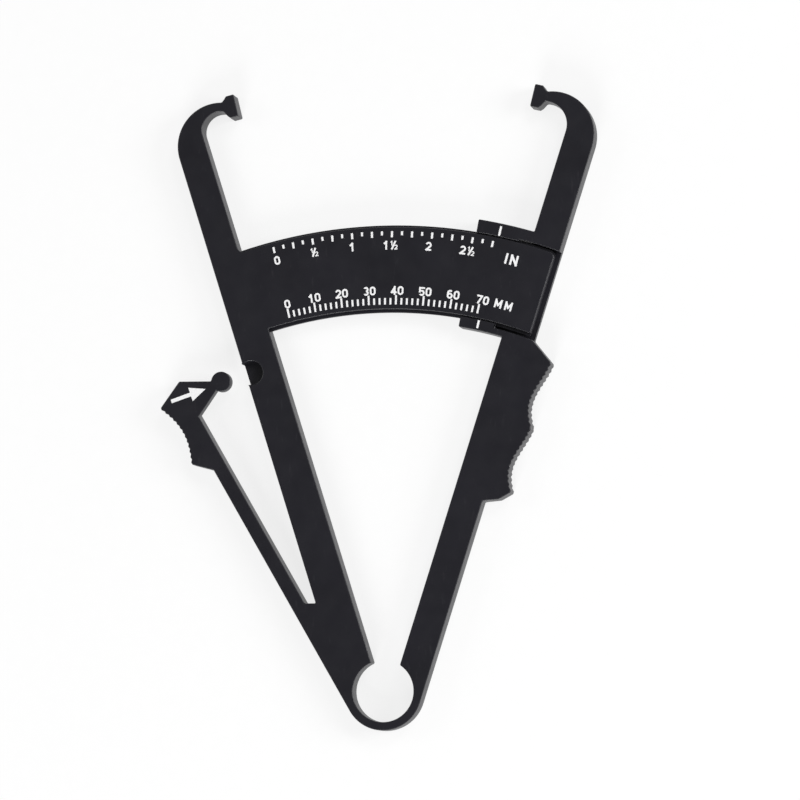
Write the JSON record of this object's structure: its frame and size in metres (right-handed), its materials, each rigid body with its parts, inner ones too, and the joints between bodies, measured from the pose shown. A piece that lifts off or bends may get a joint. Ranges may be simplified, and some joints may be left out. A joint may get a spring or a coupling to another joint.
{
  "type": "skinfold_caliper",
  "caption": "Flat one-piece plastic skinfold caliper with a loop spring hinge, hooked jaws, a curved inch and millimetre scale and a thumb lever.",
  "frame": {"origin": "centre of the hinge loop's hole, on the caliper's flat back face", "axes": "+Z out of the printed face, along the hole; +Y from the hinge loop towards the jaws, up the middle of the open V; +X towards the moving arm"},
  "size_m": [0.1055, 0.1533, 0.0051],
  "materials": {
    "plastic": "near-black moulded plastic with a satin sheen",
    "ink": "flat white pad print"
  },
  "bodies": {
    "fixed_arm": {"fixed_arm": "plastic", "fixed_hook": "plastic", "fixed_jaw": "plastic", "scale_plate": "plastic", "inch_ticks": "ink", "mm_ticks": "ink", "inch_numerals": "ink", "mm_numerals": "ink", "unit_letters": "ink", "hinge_loop": "plastic", "lever_beam": "plastic"},
    "moving_arm": {"moving_arm": "plastic", "guide_floor": "plastic", "upper_guide_tab": "plastic", "lower_guide_tab": "plastic", "moving_upper_arm": "plastic", "moving_hook": "plastic", "moving_jaw": "plastic", "finger_grip": "plastic", "upper_index_line": "ink", "lower_index_line": "ink"},
    "thumb_lever": {"thumb_pad": "plastic", "lever_neck": "plastic", "set_disc": "plastic", "arrow_mark": "ink"}
  },
  "joints": [
    {"name": "jaw_hinge", "type": "hinge", "parent": "fixed_arm", "child": "moving_arm", "pos_m": [0, -0.0083, 0.0025], "axis": [0, 0, 1], "range_deg": [0, 27.1], "stiffness_Nm_per_rad": 0.4, "deforming": ["hinge_loop"]},
    {"name": "lever_hinge", "type": "hinge", "parent": "fixed_arm", "child": "thumb_lever", "pos_m": [-0.02243, 0.02354, 0.0025], "axis": [0, 0, -1], "range_deg": [0, 8.2], "stiffness_Nm_per_rad": 0.9, "deforming": ["lever_beam"]}
  ]
}
